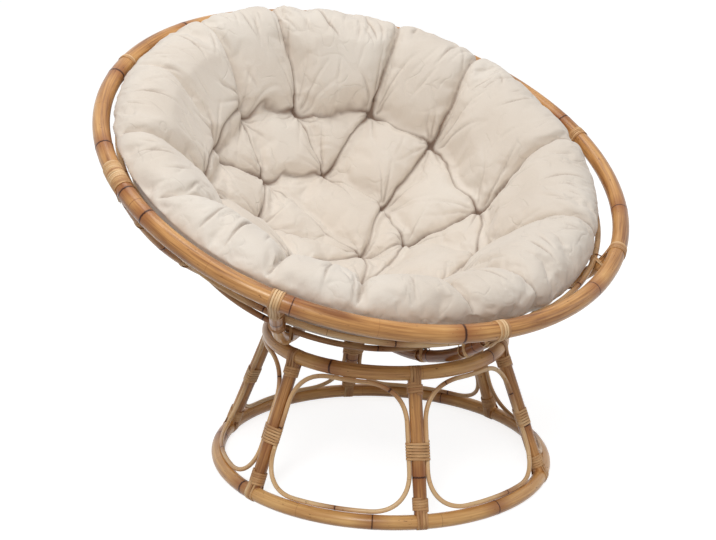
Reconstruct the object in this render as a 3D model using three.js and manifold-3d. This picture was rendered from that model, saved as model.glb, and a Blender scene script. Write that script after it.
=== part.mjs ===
// A papasan chair: a round rattan bowl that rests loose in the top ring of a round rattan base,
// with a thick tufted pad lying in the bowl. Millimetres, +Z up, the low side of the bowl towards -Y.
import * as THREE from "three";
import { mergeVertices } from "three/addons/utils/BufferGeometryUtils.js";
import Module from "manifold-3d";

const wasm = await Module();
wasm.setup();
const degree = Math.PI / 180;
const fullTurn = 2 * Math.PI;

// Bowl
const bowlOuterDiameter = 1100;
const bowlDepth = 344.3;
const bowlTilt = 23.9 * degree;
const rimPoleDiameter = 34;
const ribCount = 8;
const ribDiameter = 24;
const bowlBottomRingDiameter = 220;
const bowlBottomRingPole = 24;
const hoopPoleDiameter = 12;
const upperHoopDrop = 33;
const middleHoopDrop = 96;
const lowerHoopDrop = 205;

// Base
const bottomRingDiameter = 672;
const topRingDiameter = 472;
const basePoleDiameter = 28;
const topRingHeight = 272;
const legCount = 6;
const legDiameter = 26;
const firstLegAngle = -107.75 * degree;
const loopPoleDiameter = 9;
const loopCornerReach = 78;
const loopCornerShare = 0.62;

// Peel lashings
const strandThickness = 1.6;
const strandWidth = 3.7;
const strandGap = 0.8;
const rimLashingTurns = 5;
const rimLashingPartingShare = 0.7;
const legStrandWidth = 6.2;
const legLashingTurns = 5;
const legLashingHeight = 145;
const ringBindingWidth = 22;
const legWrapLength = 34;
const jacketSeatShave = 0.4;

// Pad
const padSetback = 48;
const padUndersideShare = 0.972;
const padCentreThickness = 118;
const padEdgeLevel = 10;
const padRearCrest = 84;
const padFrontCrest = 34;
const padRestGap = 0.4;
const tuftDepth = 52;
const tuftReach = 30;
const creaseDepth = 22;
const creaseReach = 17;
const edgeCreaseDepth = 20;
const innerTuftCircle = 440;
const outerTuftCircle = 716;

// Shared clearances
const clearance = 0.3;
const windingSeat = 0.55;
const overrun = 30;
const weldTolerance = 1e-4;

// Worked out from the sizes above
const rimRadius = (bowlOuterDiameter - rimPoleDiameter) / 2;
const rimPole = rimPoleDiameter / 2;
const ribPole = ribDiameter / 2;
const hoopPole = hoopPoleDiameter / 2;
const basePole = basePoleDiameter / 2;
const legPole = legDiameter / 2;
const loopPole = loopPoleDiameter / 2;
const sphereRadius = (rimRadius ** 2 + bowlDepth ** 2) / (2 * bowlDepth);
const sphereRise = sphereRadius - bowlDepth;
const bowlBottomRingRadius = (bowlBottomRingDiameter - bowlBottomRingPole) / 2;
const bottomRingRadius = bottomRingDiameter / 2;
const topRingRadius = topRingDiameter / 2;
const ringSides = 8;
const bottomRingLevel = basePole * Math.cos(Math.PI / ringSides);
const seatRadius = sphereRadius + ribPole + clearance + basePole;
const pivotHeight = topRingHeight + Math.sqrt(seatRadius ** 2 - topRingRadius ** 2);
const rimHeight = pivotHeight - sphereRise * Math.cos(bowlTilt);
const baseShift = -sphereRise * Math.sin(bowlTilt);

// Materials
const finish = (color, roughness) => new THREE.MeshStandardMaterial({ color, roughness, metalness: 0 });
const honeyRattan = finish(0xc08a52, 0.45);
const paleRattan = finish(0xcfa066, 0.5);
const peel = finish(0xdab27e, 0.6);
const cotton = finish(0xe8e0d4, 0.95);

// Groups: the base stands on the floor, and the bowl tilts about the centre of its sphere.
const chair = new THREE.Group();
const base = new THREE.Group();
base.position.set(0, baseShift, 0);
base.rotation.z = firstLegAngle;
const bowl = new THREE.Group();
bowl.position.set(0, 0, rimHeight);
bowl.rotation.x = bowlTilt;
chair.add(base, bowl);

function place(parent, name, geometry, material, turn = 0) {
  const mesh = new THREE.Mesh(geometry, material);
  mesh.name = name;
  mesh.rotation.z = turn;
  parent.add(mesh);
}

// Solids and booleans
function solidOf(geometry) {
  const bare = geometry.index ? geometry.toNonIndexed() : geometry.clone();
  bare.deleteAttribute("normal");
  bare.deleteAttribute("uv");
  const merged = mergeVertices(bare, weldTolerance);
  const vertProperties = merged.attributes.position.array;
  const triVerts = new Uint32Array(merged.index.array);
  return new wasm.Manifold(new wasm.Mesh({ numProp: 3, vertProperties, triVerts }));
}

function geometryOf(solid) {
  const mesh = solid.getMesh();
  const positions = new Float32Array(mesh.numVert * 3);
  for (let i = 0; i < mesh.numVert; i += 1) {
    positions.set(mesh.vertProperties.subarray(i * mesh.numProp, i * mesh.numProp + 3), i * 3);
  }
  const geometry = new THREE.BufferGeometry();
  geometry.setAttribute("position", new THREE.BufferAttribute(positions, 3));
  geometry.setIndex(new THREE.BufferAttribute(new Uint32Array(mesh.triVerts), 1));
  return geometry;
}

// Coping can leave a sliver beyond the neighbour, so the main body is kept.
const largest = (solid) => solid.decompose().sort((a, b) => b.volume() - a.volume())[0];

// A pole bent to a ring round Z, with a corner of its section at the angle that is given.
function ring(radius, pole, segments, sides, cornerAngle = 0) {
  const profile = [];
  for (let i = 0; i <= sides; i += 1) {
    const angle = cornerAngle + ((i % sides) * fullTurn) / sides;
    profile.push(new THREE.Vector2(radius + pole * Math.cos(angle), pole * Math.sin(angle)));
  }
  return new THREE.LatheGeometry(profile, segments).rotateX(Math.PI / 2);
}

// A pole along an open curve, with a corner of its section in the curve's own plane.
function pole(curve, radius, steps, sides) {
  const corners = [];
  for (let i = 0; i < sides; i += 1) {
    const angle = Math.PI / 2 + (i * fullTurn) / sides;
    corners.push(new THREE.Vector2(radius * Math.cos(angle), radius * Math.sin(angle)));
  }
  const options = { steps, extrudePath: curve, bevelEnabled: false };
  return new THREE.ExtrudeGeometry(new THREE.Shape(corners), options);
}

// A flat strand through a list of stations, each a centre, its width direction and its outward direction.
function strand(stations, width, thickness) {
  const positions = [];
  for (const { centre, across, outward } of stations) {
    for (const [w, t] of [[-0.5, -0.5], [0.5, -0.5], [0.5, 0.5], [-0.5, 0.5]]) {
      const corner = centre.clone().addScaledVector(across, w * width).addScaledVector(outward, t * thickness);
      positions.push(corner.x, corner.y, corner.z);
    }
  }
  const last = (stations.length - 1) * 4;
  const faces = [0, 2, 1, 0, 3, 2, last, last + 1, last + 2, last, last + 2, last + 3];
  for (let i = 0; i < last; i += 4) {
    for (let side = 0; side < 4; side += 1) {
      const next = (side + 1) % 4;
      faces.push(i + side, i + next, i + 4 + next, i + side, i + 4 + next, i + 4 + side);
    }
  }
  const geometry = new THREE.BufferGeometry();
  geometry.setAttribute("position", new THREE.Float32BufferAttribute(positions, 3));
  geometry.setIndex(faces);
  return geometry;
}

// The least gap between neighbouring turns, measured between the facing edges of their stations.
function leastGap(stations, stepsPerTurn, width) {
  let least = Infinity;
  const segment = new THREE.Line3();
  const nearest = new THREE.Vector3();
  for (let i = 0; i + stepsPerTurn + 1 < stations.length; i += 1) {
    const here = stations[i];
    const edge = here.centre.clone().addScaledVector(here.across, width / 2);
    for (let j = i + stepsPerTurn - 1; j <= i + stepsPerTurn; j += 1) {
      const ends = [stations[j], stations[j + 1]].map(({ centre, across }) =>
        centre.clone().addScaledVector(across, -width / 2),
      );
      segment.set(ends[0], ends[1]);
      segment.closestPointToPoint(edge, true, nearest);
      least = Math.min(least, nearest.distanceTo(edge));
    }
  }
  return least;
}

// Base: two rings and six splayed legs coped between them
const seatAngle = Math.atan2(pivotHeight - topRingHeight, -topRingRadius);
const ringSegments = 48;
const footSegments = 36;
const bottomRing = ring(bottomRingRadius, basePole, footSegments, ringSides, Math.PI / ringSides);
bottomRing.translate(0, 0, bottomRingLevel);
place(base, "base_bottom_ring", bottomRing, honeyRattan);
const topRing = ring(topRingRadius, basePole, ringSegments, ringSides, seatAngle);
topRing.translate(0, 0, topRingHeight);
place(base, "base_top_ring", topRing, honeyRattan);

const coping = basePole + clearance;
const bottomCoping = ring(bottomRingRadius, coping, footSegments, ringSides, Math.PI / ringSides);
bottomCoping.translate(0, 0, bottomRingLevel);
const topCoping = ring(topRingRadius, coping, ringSegments, ringSides, seatAngle);
topCoping.translate(0, 0, topRingHeight);
const bottomCopingSolid = solidOf(bottomCoping);
const topCopingSolid = solidOf(topCoping);

const legFoot = new THREE.Vector3(bottomRingRadius, 0, bottomRingLevel);
const legHead = new THREE.Vector3(topRingRadius, 0, topRingHeight);
const legLine = new THREE.LineCurve3(legFoot, legHead);
const legLength = legFoot.distanceTo(legHead);
const legDirection = legHead.clone().sub(legFoot).normalize();
const legOutward = new THREE.Vector3(legDirection.z, 0, -legDirection.x);
const legAcross = new THREE.Vector3(0, 1, 0);
const legSides = 8;
const legSolid = solidOf(pole(legLine, legPole, 1, legSides));
const legGeometry = geometryOf(largest(legSolid.subtract(bottomCopingSolid).subtract(topCopingSolid)));
for (let i = 0; i < legCount; i += 1) {
  place(base, `leg_${i + 1}`, legGeometry, honeyRattan, (i * fullTurn) / legCount);
}

// Window loops: a thin pole bent to a rounded frame that lies on the cone of the legs
const loopSteps = 28;
const loopSides = 5;
const besideLeg = legPole + loopPole + clearance;
const loopFoot = basePole + loopPole + windingSeat;
const loopHead = legLength - basePole - loopPole - windingSeat;
const halfWindow = Math.PI / legCount;
const windowHalfWidth = (along) => {
  const radius = THREE.MathUtils.lerp(bottomRingRadius, topRingRadius, along / legLength);
  return halfWindow * radius - besideLeg;
};
const onCone = (across, along) => {
  const share = along / legLength;
  const radius = THREE.MathUtils.lerp(bottomRingRadius, topRingRadius, share);
  const level = THREE.MathUtils.lerp(bottomRingLevel, topRingHeight, share);
  const angle = across / radius;
  return new THREE.Vector3(radius * Math.cos(angle), radius * Math.sin(angle), level);
};
const windowCorners = [
  new THREE.Vector2(-windowHalfWidth(loopFoot), loopFoot),
  new THREE.Vector2(windowHalfWidth(loopFoot), loopFoot),
  new THREE.Vector2(windowHalfWidth(loopHead), loopHead),
  new THREE.Vector2(-windowHalfWidth(loopHead), loopHead),
];
const windowOutline = new THREE.Path();
windowCorners.forEach((corner, i) => {
  const before = windowCorners[(i + 3) % 4].clone().sub(corner).setLength(loopCornerReach).add(corner);
  const after = windowCorners[(i + 1) % 4].clone().sub(corner).setLength(loopCornerReach).add(corner);
  if (i === 0) windowOutline.moveTo(before.x, before.y);
  else windowOutline.lineTo(before.x, before.y);
  const first = before.clone().lerp(corner, loopCornerShare);
  const second = after.clone().lerp(corner, loopCornerShare);
  windowOutline.bezierCurveTo(first.x, first.y, second.x, second.y, after.x, after.y);
});
windowOutline.closePath();
const loopPoints = windowOutline.getSpacedPoints(loopSteps).slice(0, loopSteps);
const loopCurve = new THREE.CatmullRomCurve3(
  loopPoints.map((point) => onCone(point.x, point.y)),
  true,
);
const loopGeometry = new THREE.TubeGeometry(loopCurve, loopSteps, loopPole, loopSides, true);
for (let i = 0; i < legCount; i += 1) {
  const turn = ((i + 0.5) * fullTurn) / legCount;
  place(base, `window_loop_${i + 1}`, loopGeometry, paleRattan, turn);
}

// Mid-height lashings: one strand wound round a leg and the two loops beside it
const legStrandPitch = legStrandWidth + strandGap;
const tieAngle = Math.acos((legPole - loopPole) / besideLeg);
const legArc = Math.PI / 2 - tieAngle;
const overLoop = (loopPole + clearance + strandThickness / 2) / Math.cos(tieAngle / 2);
const overLeg = (legPole + clearance + strandThickness / 2) / Math.cos(legArc / 2);
const bundleStops = [];
for (let quarter = 0; quarter < 4; quarter += 1) {
  const mirrored = quarter % 2 === 1;
  const axisAngle = (quarter * Math.PI) / 2;
  const turnAngle = mirrored ? Math.PI / 2 - tieAngle : tieAngle;
  const loopSign = quarter === 0 || quarter === 3 ? 1 : -1;
  const first = mirrored ? 0 : besideLeg * loopSign;
  const second = mirrored ? besideLeg * loopSign : 0;
  const reachOf = (shift) => (shift ? overLoop : overLeg);
  bundleStops.push({ angle: axisAngle, shift: first, reach: reachOf(first) });
  bundleStops.push({ angle: axisAngle + turnAngle, shift: first, reach: reachOf(first) });
  bundleStops.push({ angle: axisAngle + turnAngle, shift: second, reach: reachOf(second) });
}
function legLashing() {
  const stations = [];
  const steps = bundleStops.length * legLashingTurns;
  const start = legLashingHeight - (legStrandPitch * legLashingTurns) / 2;
  for (let i = 0; i <= steps; i += 1) {
    const { angle, shift, reach } = bundleStops[i % bundleStops.length];
    const along = start + (legStrandPitch * i) / bundleStops.length;
    const outward = legAcross.clone().multiplyScalar(Math.cos(angle));
    outward.addScaledVector(legOutward, -Math.sin(angle));
    const centre = legFoot.clone().addScaledVector(legDirection, along);
    centre.addScaledVector(legAcross, shift).addScaledVector(outward, reach);
    stations.push({ centre, across: legDirection, outward });
  }
  return stations;
}
const legStations = legLashing();
const legGap = leastGap(legStations, bundleStops.length, legStrandWidth);
console.log(`leg lashing, least gap between turns: ${legGap.toFixed(2)} mm`);
const legLashingGeometry = strand(legStations, legStrandWidth, strandThickness);
for (let i = 0; i < legCount; i += 1) {
  place(base, `leg_lashing_mid_${i + 1}`, legLashingGeometry, peel, (i * fullTurn) / legCount);
}

// Corner lashings: a binding over the ring and a wrap round the leg, as one jacket
const jacketSkin = clearance + strandThickness;
function cornerJacket(radius, level, segments, corner, ringCoping, from, to) {
  const wrapLine = new THREE.LineCurve3(
    legFoot.clone().addScaledVector(legDirection, from),
    legFoot.clone().addScaledVector(legDirection, to),
  );
  const slabHeight = 2 * (topRingHeight + basePole + overrun);
  const slabBox = new THREE.BoxGeometry(bottomRingDiameter, ringBindingWidth, slabHeight);
  const slab = solidOf(slabBox.translate(bottomRingRadius, 0, 0));
  const sleeve = ring(radius, basePole + jacketSkin, segments, ringSides, corner);
  const binding = solidOf(sleeve.translate(0, 0, level)).intersect(slab);
  const wrap = solidOf(pole(wrapLine, legPole + jacketSkin, 1, legSides));
  const legBore = solidOf(pole(legLine, legPole + clearance, 1, legSides));
  return binding.add(wrap).subtract(ringCoping).subtract(legBore);
}
const wrapNear = basePole / 2;
const wrapFar = basePole + legWrapLength;
const floorCut = new THREE.BoxGeometry(bottomRingDiameter * 2, bottomRingDiameter, overrun);
floorCut.translate(0, 0, clearance - overrun / 2);
const bottomJacket = cornerJacket(
  bottomRingRadius,
  bottomRingLevel,
  footSegments,
  Math.PI / ringSides,
  bottomCopingSolid,
  wrapNear,
  wrapFar,
).subtract(solidOf(floorCut));

// The top jackets are shaved where the bowl's ribs pass over them.
const seatProfile = [new THREE.Vector2(0, 0)];
const shaveRadius = sphereRadius + ribPole + clearance + jacketSeatShave;
const shaveSteps = 20;
const shaveHalfAngle = 1.5 * Math.asin(topRingRadius / seatRadius);
for (let i = 0; i <= shaveSteps; i += 1) {
  const angle = (shaveHalfAngle * i) / shaveSteps;
  seatProfile.push(new THREE.Vector2(shaveRadius * Math.sin(angle), -shaveRadius * Math.cos(angle)));
}
seatProfile.push(new THREE.Vector2(0, 0));
const shave = new THREE.LatheGeometry(seatProfile, ringSegments).rotateX(Math.PI / 2);
shave.translate(0, 0, pivotHeight);
const topJacket = cornerJacket(
  topRingRadius,
  topRingHeight,
  ringSegments,
  seatAngle,
  topCopingSolid,
  legLength - wrapFar,
  legLength - wrapNear,
).subtract(solidOf(shave));
const bottomJacketGeometry = geometryOf(largest(bottomJacket));
const topJacketGeometry = geometryOf(largest(topJacket));
for (let i = 0; i < legCount; i += 1) {
  const turn = (i * fullTurn) / legCount;
  place(base, `leg_lashing_bottom_${i + 1}`, bottomJacketGeometry, peel, turn);
  place(base, `leg_lashing_top_${i + 1}`, topJacketGeometry, peel, turn);
}

// Bowl: rim, ribs on a sphere, hoops inside the ribs and a small ring at the bottom
const rimSegments = 64;
const rimSides = 8;
const ribAngle = Math.asin(rimRadius / sphereRadius);
const rimCorner = ribAngle + Math.PI + Math.PI / rimSides;
place(bowl, "bowl_rim", ring(rimRadius, rimPole, rimSegments, rimSides, rimCorner), honeyRattan);

const bottomAngle = Math.asin(bowlBottomRingRadius / sphereRadius);
const bowlRingPole = bowlBottomRingPole / 2;
const bowlRingLevel = sphereRise - sphereRadius * Math.cos(bottomAngle);
const bowlRingSegments = 24;
const bowlRing = ring(bowlBottomRingRadius, bowlRingPole, bowlRingSegments, ringSides, bottomAngle - Math.PI / 2);
place(bowl, "bowl_bottom_ring", bowlRing.translate(0, 0, bowlRingLevel), honeyRattan);

class RibArc extends THREE.Curve {
  getPoint(share, target = new THREE.Vector3()) {
    const angle = THREE.MathUtils.lerp(ribAngle, bottomAngle, share);
    return target.set(sphereRadius * Math.sin(angle), 0, sphereRise - sphereRadius * Math.cos(angle));
  }
}
const ribSteps = 12;
const ribSides = 6;
const rimCoping = solidOf(ring(rimRadius, rimPole + clearance, rimSegments, rimSides, rimCorner));
const bowlRingCoping = ring(
  bowlBottomRingRadius,
  bowlRingPole + clearance,
  bowlRingSegments,
  ringSides,
  bottomAngle - Math.PI / 2,
);
const bowlRingCopingSolid = solidOf(bowlRingCoping.translate(0, 0, bowlRingLevel));
const ribBlank = solidOf(pole(new RibArc(), ribPole, ribSteps, ribSides));
const ribGeometry = geometryOf(largest(ribBlank.subtract(rimCoping).subtract(bowlRingCopingSolid)));
for (let i = 0; i < ribCount; i += 1) {
  place(bowl, `bowl_rib_${i + 1}`, ribGeometry, honeyRattan, (i * fullTurn) / ribCount - Math.PI / 2);
}

const hoopSphere = sphereRadius - ribPole - hoopPole - clearance;
const hoopSides = 6;
const hoopAngle = (drop) => Math.acos((sphereRise + drop) / hoopSphere);
const hoops = { upper: upperHoopDrop, middle: middleHoopDrop, lower: lowerHoopDrop };
for (const [name, drop] of Object.entries(hoops)) {
  const angle = hoopAngle(drop);
  const hoop = ring(hoopSphere * Math.sin(angle), hoopPole, ringSegments, hoopSides, angle - Math.PI / 2);
  place(bowl, `bowl_hoop_${name}`, hoop.translate(0, 0, -drop), paleRattan);
}

// Rim lashings: one strand wound over the rim, its turns parting to either side of the rib below
const rimLashingSteps = 8;
const strandPitch = strandWidth + strandGap;
const rimStrandReach = (rimPole + windingSeat + strandThickness / 2) / Math.cos(Math.PI / rimLashingSteps);
const besideRib = ribPole + clearance + strandWidth / 2 + strandGap;
const rimLashing = () => {
  const ribDown = new THREE.Vector3(-Math.cos(ribAngle), 0, -Math.sin(ribAngle));
  const away = ribDown.clone().negate();
  const side = new THREE.Vector3(away.z, 0, -away.x);
  const along = new THREE.Vector3(0, 1, 0);
  const bowlAxis = new THREE.Vector3(0, 0, 1);
  const rimPoint = new THREE.Vector3(rimRadius, 0, 0);
  const middle = rimLashingTurns / 2;
  const passAt = (pass) => {
    const steps = pass - middle;
    return Math.sign(steps) * (besideRib + strandPitch * (Math.abs(steps) - 0.5));
  };
  const stations = [];
  for (let i = 0; i <= rimLashingSteps * rimLashingTurns; i += 1) {
    const turns = i / rimLashingSteps;
    const turn = Math.min(Math.floor(turns), rimLashingTurns - 1);
    const angle = (turns - turn) * fullTurn - Math.PI;
    const spread = THREE.MathUtils.smoothstep(Math.abs(angle), 0, rimLashingPartingShare * Math.PI);
    const crest = strandPitch * (turns - middle);
    const pass = passAt(angle < 0 ? turn : turn + 1);
    const offset = THREE.MathUtils.lerp(crest, pass, spread);
    const outward = away.clone().multiplyScalar(Math.cos(angle)).addScaledVector(side, Math.sin(angle));
    const centre = rimPoint.clone().addScaledVector(outward, rimStrandReach);
    const across = along.clone();
    for (const vector of [centre, across, outward]) vector.applyAxisAngle(bowlAxis, offset / rimRadius);
    stations.push({ centre, across, outward });
  }
  return stations;
};
const rimStations = rimLashing();
const rimGap = leastGap(rimStations, rimLashingSteps, strandWidth);
console.log(`rim lashing, least gap between turns: ${rimGap.toFixed(2)} mm`);
const rimLashingGeometry = strand(rimStations, strandWidth, strandThickness);
for (let i = 0; i < ribCount; i += 1) {
  place(bowl, `rim_lashing_${i + 1}`, rimLashingGeometry, peel, (i * fullTurn) / ribCount - Math.PI / 2);
}

// Pad: a thick round cushion with a raised outer roll, drawn in by tufts and the creases between them
const padRadius = bowlOuterDiameter / 2 - padSetback;
const padUnder = hoopSphere - hoopPole - padRestGap;
const padSectors = ringSegments;
const dishShares = [[0.08, 0.008], [0.17, 0.035], [0.26, 0.08], [0.345, 0.14], [0.43, 0.22], [0.51, 0.315],
  [0.585, 0.43], [0.655, 0.56], [0.712, 0.69], [0.765, 0.81], [0.82, 0.92], [0.87, 0.985], [0.912, 1]];
const sideShares = [[0.95, 0.93], [0.98, 0.7], [0.997, 0.36], [1, 0]];
const edgeAngle = Math.asin((padRadius * padUndersideShare) / padUnder);
const restAngles = [hoopAngle(middleHoopDrop), hoopAngle(lowerHoopDrop)];
const underAngles = [edgeAngle, restAngles[0], (restAngles[0] + restAngles[1]) / 2, restAngles[1], restAngles[1] / 2];
const padCentreLevel = sphereRise - padUnder + padCentreThickness;
const tuftsOn = (circle, count, first) =>
  Array.from({ length: count }, (_, i) => {
    const angle = first + (i * fullTurn) / count;
    return new THREE.Vector2(Math.cos(angle), Math.sin(angle)).multiplyScalar(circle / 2);
  });
const innerTufts = tuftsOn(innerTuftCircle, 8, -15 * degree);
const outerTufts = tuftsOn(outerTuftCircle, 12, 0);
const centreTuft = new THREE.Vector2(0, 0);
const tufts = [centreTuft, ...innerTufts, ...outerTufts];
const neighbours = (point, list, count) =>
  [...list].sort((a, b) => a.distanceTo(point) - b.distanceTo(point)).slice(0, count);
const creases = [];
innerTufts.forEach((tuft, i) => {
  creases.push([centreTuft, tuft], [tuft, innerTufts[(i + 1) % innerTufts.length]]);
});
outerTufts.forEach((tuft, i) => {
  creases.push([tuft, outerTufts[(i + 1) % outerTufts.length]]);
  for (const inner of neighbours(tuft, innerTufts, 1)) creases.push([tuft, inner]);
});
const dent = (distance, depth, reach) => depth * Math.exp(-((distance / reach) ** 2));
function sinkAt(point) {
  let sink = 0;
  for (const tuft of tufts) {
    sink = Math.max(sink, dent(tuft.distanceTo(point), tuftDepth, tuftReach));
  }
  for (const [from, to] of creases) {
    const line = to.clone().sub(from);
    const share = THREE.MathUtils.clamp(point.clone().sub(from).dot(line) / line.lengthSq(), 0, 1);
    const nearest = from.clone().addScaledVector(line, share);
    sink = Math.max(sink, dent(nearest.distanceTo(point), creaseDepth, creaseReach));
  }
  return sink;
}
function padGeometry() {
  const rings = [];
  const ringOf = (make) => rings.push(Array.from({ length: padSectors }, (_, i) => make((i * fullTurn) / padSectors)));
  const crest = (angle) => THREE.MathUtils.lerp(padRearCrest, padFrontCrest, (1 - Math.sin(angle)) / 2);
  const edgeFold = (angle) => (1 + Math.cos(angle * outerTufts.length)) / 2;
  for (const [radiusShare, rise] of dishShares) {
    ringOf((angle) => {
      const radius = padRadius * radiusShare;
      const flat = new THREE.Vector2(Math.cos(angle), Math.sin(angle)).multiplyScalar(radius);
      const level = THREE.MathUtils.lerp(padCentreLevel, crest(angle), rise);
      const past = radius * 2 > outerTuftCircle ? edgeCreaseDepth * edgeFold(angle) ** 4 : 0;
      return new THREE.Vector3(flat.x, flat.y, level - Math.max(sinkAt(flat), past));
    });
  }
  for (const [radiusShare, rise] of sideShares) {
    ringOf((angle) => {
      const fold = (edgeCreaseDepth / 2) * edgeFold(angle) ** 4 * rise;
      const radius = padRadius * radiusShare - fold;
      const level = THREE.MathUtils.lerp(padEdgeLevel, crest(angle), rise) - fold;
      return new THREE.Vector3(radius * Math.cos(angle), radius * Math.sin(angle), level);
    });
  }
  for (const underAngle of underAngles) {
    const radius = padUnder * Math.sin(underAngle);
    const level = sphereRise - padUnder * Math.cos(underAngle);
    ringOf((angle) => new THREE.Vector3(radius * Math.cos(angle), radius * Math.sin(angle), level));
  }
  const points = [new THREE.Vector3(0, 0, padCentreLevel - tuftDepth), ...rings.flat()];
  points.push(new THREE.Vector3(0, 0, sphereRise - padUnder));
  const faces = [];
  const at = (ringIndex, sector) => 1 + ringIndex * padSectors + (sector % padSectors);
  const bottom = points.length - 1;
  for (let s = 0; s < padSectors; s += 1) {
    faces.push(0, at(0, s), at(0, s + 1));
    faces.push(bottom, at(rings.length - 1, s + 1), at(rings.length - 1, s));
    for (let r = 0; r + 1 < rings.length; r += 1) {
      faces.push(at(r, s), at(r + 1, s), at(r + 1, s + 1));
      faces.push(at(r, s), at(r + 1, s + 1), at(r, s + 1));
    }
  }
  const geometry = new THREE.BufferGeometry();
  geometry.setFromPoints(points);
  geometry.setIndex(faces);
  return geometry;
}
place(bowl, "seat_cushion", padGeometry(), cotton);

export default chair;
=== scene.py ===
"""The papasan chair's finished look: rattan poles, wound lashings and a tufted pad."""

import math

import bpy
import numpy as np
from mathutils import Matrix, Vector


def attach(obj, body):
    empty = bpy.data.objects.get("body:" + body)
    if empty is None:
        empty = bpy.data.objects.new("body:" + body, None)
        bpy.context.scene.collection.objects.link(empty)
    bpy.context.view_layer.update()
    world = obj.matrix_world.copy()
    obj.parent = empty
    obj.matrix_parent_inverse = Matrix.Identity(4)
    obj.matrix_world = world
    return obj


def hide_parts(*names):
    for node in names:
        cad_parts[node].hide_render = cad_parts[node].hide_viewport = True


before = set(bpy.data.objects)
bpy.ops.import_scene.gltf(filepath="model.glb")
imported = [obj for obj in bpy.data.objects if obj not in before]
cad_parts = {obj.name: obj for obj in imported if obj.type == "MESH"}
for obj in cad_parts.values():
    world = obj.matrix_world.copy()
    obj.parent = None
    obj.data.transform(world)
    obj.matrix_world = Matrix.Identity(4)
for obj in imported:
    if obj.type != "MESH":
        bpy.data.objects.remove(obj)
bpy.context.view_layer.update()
rng = np.random.default_rng(7)
TAU = 2 * math.pi

# Bowl, in metres
RIM_RADIUS = 0.533
RIM_POLE = 0.017
BOWL_DEPTH = 0.3443
BOWL_TILT = math.radians(23.9)
RIB_COUNT = 8
RIB_POLE = 0.012
BOWL_RING_RADIUS = 0.098
BOWL_RING_POLE = 0.012
HOOP_POLE = 0.006
HOOP_DROPS = {"upper": 0.033, "middle": 0.096, "lower": 0.205}

# Base, in metres
BOTTOM_RADIUS = 0.336
TOP_RADIUS = 0.236
BASE_POLE = 0.014
TOP_HEIGHT = 0.272
LEG_COUNT = 6
LEG_POLE = 0.013
FIRST_LEG = math.radians(-107.75)
LOOP_POLE = 0.0045
LOOP_CORNER = 0.078
MID_LASHING = 0.145

# Lashings and clearances, in metres
STRAND_THICKNESS = 0.0011
TIE_WIDTH = 0.0032
CLEARANCE = 0.0003
BOWL_GAP = CLEARANCE * 0.8

# Worked out from the sizes above
SPHERE = (RIM_RADIUS**2 + BOWL_DEPTH**2) / (2 * BOWL_DEPTH)
RISE = SPHERE - BOWL_DEPTH
BOTTOM_LEVEL = BASE_POLE * math.cos(math.pi / 8)
PIVOT_Z = TOP_HEIGHT + math.sqrt((SPHERE + RIB_POLE + CLEARANCE + BASE_POLE) ** 2 - TOP_RADIUS**2)
BASE_SHIFT = -RISE * math.sin(BOWL_TILT)
PIVOT = np.array([0, BASE_SHIFT, PIVOT_Z])
BOWL = Matrix.Translation((0, 0, PIVOT_Z - RISE * math.cos(BOWL_TILT))) @ Matrix.Rotation(BOWL_TILT, 4, "X")
BASE = Matrix.Translation((0, BASE_SHIFT, 0)) @ Matrix.Rotation(FIRST_LEG, 4, "Z")
RIM_ANGLE = math.asin(RIM_RADIUS / SPHERE)
BOWL_RING_ANGLE = math.asin(BOWL_RING_RADIUS / SPHERE)
HOOP_SPHERE = SPHERE - RIB_POLE - HOOP_POLE - CLEARANCE


def placed(matrix, points):
    """The points, given in a group's own frame, in the row frame."""
    m = np.array(matrix)
    return points @ m[:3, :3].T + m[:3, 3]


def turned(matrix, vector):
    return np.array(matrix)[:3, :3] @ np.array(vector, float)


def unit(v):
    return v / np.linalg.norm(v, axis=-1, keepdims=True)


def toward(angle):
    return np.array([math.cos(angle), math.sin(angle)])


def lengths(points):
    """The length along a curve from its first point to each one."""
    return np.concatenate([[0], np.cumsum(np.linalg.norm(np.diff(points, axis=0), axis=1))])


def link(thing):
    bpy.context.scene.collection.objects.link(thing)


# Camera
CAMERA_AZIMUTH = math.radians(-30.5)
CAMERA_ELEVATION = math.radians(16.865)
CAMERA_DISTANCE = 3.0
CAMERA_TARGET = Vector((-0.0603, 0, 0.4005))
CAMERA_ROLL = math.radians(2.024)
CAMERA_LENS = 75.34
SENSOR_WIDTH = 36


def make_camera():
    data = bpy.data.cameras.new("camera")
    data.sensor_fit = "HORIZONTAL"
    data.sensor_width = SENSOR_WIDTH
    data.lens = CAMERA_LENS
    back = Vector((0, -math.cos(CAMERA_ELEVATION), math.sin(CAMERA_ELEVATION)))
    right = Vector((1, 0, 0))
    up = back.cross(right)
    spin = Matrix.Rotation(CAMERA_AZIMUTH, 3, "Z")
    c, s = math.cos(CAMERA_ROLL), math.sin(CAMERA_ROLL)
    axes = [spin @ (right * c + up * s), spin @ (up * c - right * s), spin @ back]
    matrix = Matrix(axes).transposed().to_4x4()
    matrix.translation = spin @ (CAMERA_TARGET + back * CAMERA_DISTANCE) + Vector((0, BASE_SHIFT, 0))
    camera = bpy.data.objects.new("camera", data)
    camera.matrix_world = matrix
    link(camera)
    bpy.context.scene.camera = camera


make_camera()


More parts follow.
